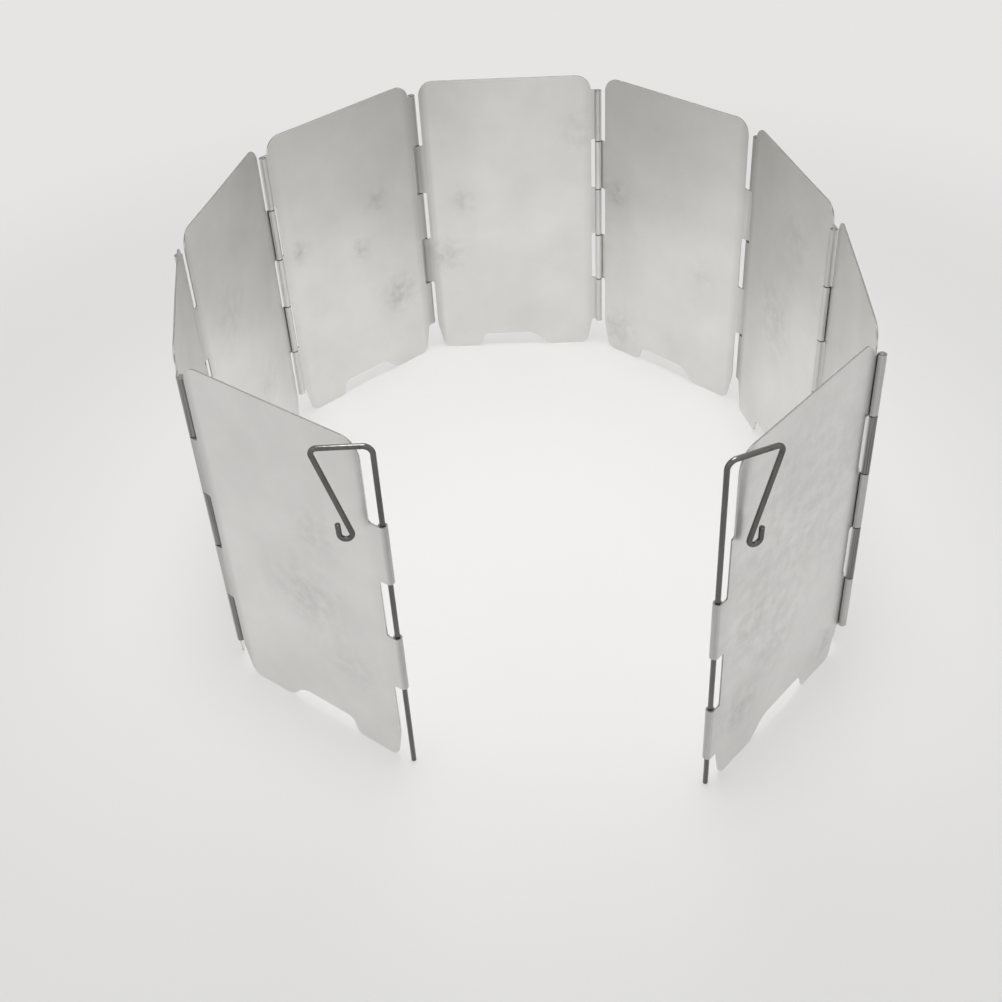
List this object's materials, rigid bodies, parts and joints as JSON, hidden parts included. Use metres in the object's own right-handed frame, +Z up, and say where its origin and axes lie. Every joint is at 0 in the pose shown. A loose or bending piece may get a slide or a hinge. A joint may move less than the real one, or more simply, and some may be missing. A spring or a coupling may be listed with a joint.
{
  "type": "stove windscreen",
  "caption": "Folding camp stove windscreen: flat aluminium panels hinged on wire pins into an open arc, with a hooked wire rod at each free edge.",
  "frame": {"origin": "on the ground at the middle of the box around the standing arc", "axes": "+Z up along the hinge pins, +X along the middle panel, the arc open towards -Y"},
  "size_m": [0.2442, 0.287, 0.1386],
  "materials": {
    "sheet": "satin mill finish",
    "pin_wire": "plain drawn wire",
    "rod_wire": "bright plated wire"
  },
  "bodies": {
    "plate_5": {"panel_5": "sheet", "hinge_pin_4": "pin_wire", "hinge_pin_5": "pin_wire"},
    "plate_4": {"panel_4": "sheet", "hinge_pin_3": "pin_wire"},
    "plate_3": {"panel_3": "sheet", "hinge_pin_2": "pin_wire"},
    "plate_2": {"panel_2": "sheet", "hinge_pin_1": "pin_wire"},
    "plate_1": {"panel_1": "sheet"},
    "plate_6": {"panel_6": "sheet", "hinge_pin_6": "pin_wire"},
    "plate_7": {"panel_7": "sheet", "hinge_pin_7": "pin_wire"},
    "plate_8": {"panel_8": "sheet", "hinge_pin_8": "pin_wire"},
    "plate_9": {"panel_9": "sheet"},
    "hook_left": {"hook_rod_left": "rod_wire"},
    "hook_right": {"hook_rod_right": "rod_wire"}
  },
  "joints": [
    {"name": "hinge_4_fold", "type": "hinge", "parent": "plate_5", "child": "plate_4", "pos_m": [-0.04458, 0.14195, 0.1315], "axis": [0, 0, -1], "range_deg": [0, 223.5]},
    {"name": "hinge_3_fold", "type": "hinge", "parent": "plate_4", "child": "plate_3", "pos_m": [-0.10225, 0.08178, 0.1315], "axis": [0, 0, 1], "range_deg": [0, 144.5]},
    {"name": "hinge_2_fold", "type": "hinge", "parent": "plate_3", "child": "plate_2", "pos_m": [-0.12059, 0.00049, 0.1315], "axis": [0, 0, -1], "range_deg": [0, 200.5]},
    {"name": "hinge_1_fold", "type": "hinge", "parent": "plate_2", "child": "plate_1", "pos_m": [-0.10296, -0.08096, 0.1315], "axis": [0, 0, 1], "range_deg": [0, 135.5]},
    {"name": "hinge_5_fold", "type": "hinge", "parent": "plate_5", "child": "plate_6", "pos_m": [0.03872, 0.13945, 0.1315], "axis": [0, 0, -1], "range_deg": [0, 136.5]},
    {"name": "hinge_6_fold", "type": "hinge", "parent": "plate_6", "child": "plate_7", "pos_m": [0.10182, 0.08502, 0.1315], "axis": [0, 0, 1], "range_deg": [0, 212.5]},
    {"name": "hinge_7_fold", "type": "hinge", "parent": "plate_7", "child": "plate_8", "pos_m": [0.11955, 0.00359, 0.1315], "axis": [0, 0, -1], "range_deg": [0, 164]},
    {"name": "hinge_8_fold", "type": "hinge", "parent": "plate_8", "child": "plate_9", "pos_m": [0.12059, -0.07974, 0.1315], "axis": [0, 0, 1], "range_deg": [0, 205]},
    {"name": "hook_left_swivel", "type": "hinge", "parent": "plate_1", "child": "hook_left", "pos_m": [-0.03556, -0.12992, 0.1315], "axis": [0, 0, 1], "range_deg": [-17, 142]},
    {"name": "hook_right_swivel", "type": "hinge", "parent": "plate_9", "child": "hook_right", "pos_m": [0.06513, -0.14195, 0.1315], "axis": [0, 0, -1], "range_deg": [-4, 155]}
  ],
  "couplings": [
    {"joint": "hinge_3_fold", "follows": "hinge_4_fold", "ratio": 0.64653},
    {"joint": "hinge_2_fold", "follows": "hinge_4_fold", "ratio": 0.89709},
    {"joint": "hinge_1_fold", "follows": "hinge_4_fold", "ratio": 0.60626},
    {"joint": "hinge_6_fold", "follows": "hinge_5_fold", "ratio": 1.5568},
    {"joint": "hinge_7_fold", "follows": "hinge_5_fold", "ratio": 1.2015},
    {"joint": "hinge_8_fold", "follows": "hinge_5_fold", "ratio": 1.5018}
  ]
}
